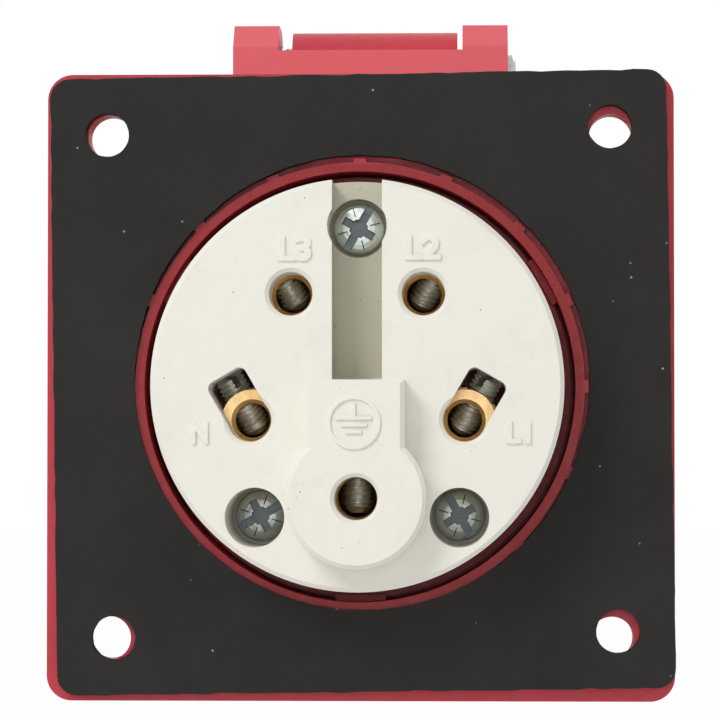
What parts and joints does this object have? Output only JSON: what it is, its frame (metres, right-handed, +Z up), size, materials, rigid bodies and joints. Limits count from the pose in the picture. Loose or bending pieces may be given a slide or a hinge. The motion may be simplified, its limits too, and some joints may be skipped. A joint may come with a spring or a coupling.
{
  "type": "industrial socket",
  "caption": "Square-flange panel socket for round-pin industrial plugs, with sprung lid, gasket, terminal cover and screw terminals.",
  "frame": {"origin": "centre of the gasket's panel-side face, on the socket's axis", "axes": "+Z up with the lid's hinge at the top, -Y the side the plug comes from, +Y the wiring side behind the panel"},
  "size_m": [0.075, 0.0735, 0.09],
  "materials": {
    "red_plastic": "moulded nylon, satin",
    "ivory_plastic": "moulded, fine satin",
    "gasket_rubber": "matte sheet",
    "seal_rubber": "matte",
    "brass": "turned",
    "spring_steel": "drawn wire",
    "screw_steel": "zinc plated thread",
    "zinc_screw": "zinc plated",
    "steel_pin": "plain"
  },
  "bodies": {
    "socket": {"housing_flange": "red_plastic", "housing_shroud": "red_plastic", "housing_hinge": "red_plastic", "flange_gasket": "gasket_rubber", "cover_screw_top": "zinc_screw", "cover_screw_left": "zinc_screw", "cover_screw_right": "zinc_screw", "hinge_pin": "steel_pin", "lid_spring": "spring_steel", "contact_block_l1": "red_plastic", "terminal_cover_l1": "ivory_plastic", "contact_l1": "brass", "contact_ring_l1": "spring_steel", "contact_block_l2": "red_plastic", "terminal_cover_l2": "ivory_plastic", "contact_l2": "brass", "contact_ring_l2": "spring_steel", "contact_block_l3": "red_plastic", "terminal_cover_l3": "ivory_plastic", "contact_l3": "brass", "contact_ring_l3": "spring_steel", "contact_block_n": "red_plastic", "terminal_cover_n": "ivory_plastic", "contact_n": "brass", "contact_ring_n": "spring_steel", "contact_block_earth": "red_plastic", "terminal_cover_earth": "ivory_plastic", "contact_earth": "brass", "contact_ring_earth": "spring_steel"},
    "lid": {"lid": "red_plastic", "lid_seal": "seal_rubber"},
    "screw_l1": {"terminal_screw_l1": "screw_steel"},
    "screw_l2": {"terminal_screw_l2": "screw_steel"},
    "screw_l3": {"terminal_screw_l3": "screw_steel"},
    "screw_n": {"terminal_screw_n": "screw_steel"},
    "screw_earth": {"terminal_screw_earth": "screw_steel"}
  },
  "joints": [
    {"name": "lid_hinge", "type": "hinge", "parent": "socket", "child": "lid", "pos_m": [0, -0.0515, 0.043], "axis": [-1, 0, 0], "range_deg": [0, 110], "stiffness_Nm_per_rad": 0.03, "springref_deg": -68.75, "deforming": ["lid_spring"]},
    {"name": "terminal_screw_travel_l1", "type": "slide", "parent": "socket", "child": "screw_l1", "axis": [-0.483, 0.2588, 0.8365], "range_m": [0, 0.004]},
    {"name": "terminal_screw_travel_l2", "type": "slide", "parent": "socket", "child": "screw_l2", "axis": [-0.483, 0.2588, 0.8365], "range_m": [0, 0.004]},
    {"name": "terminal_screw_travel_l3", "type": "slide", "parent": "socket", "child": "screw_l3", "axis": [0.483, 0.2588, 0.8365], "range_m": [0, 0.004]},
    {"name": "terminal_screw_travel_n", "type": "slide", "parent": "socket", "child": "screw_n", "axis": [0.483, 0.2588, 0.8365], "range_m": [0, 0.004]},
    {"name": "terminal_screw_travel_earth", "type": "slide", "parent": "socket", "child": "screw_earth", "axis": [0, 0, 1], "range_m": [0, 0.004]}
  ]
}
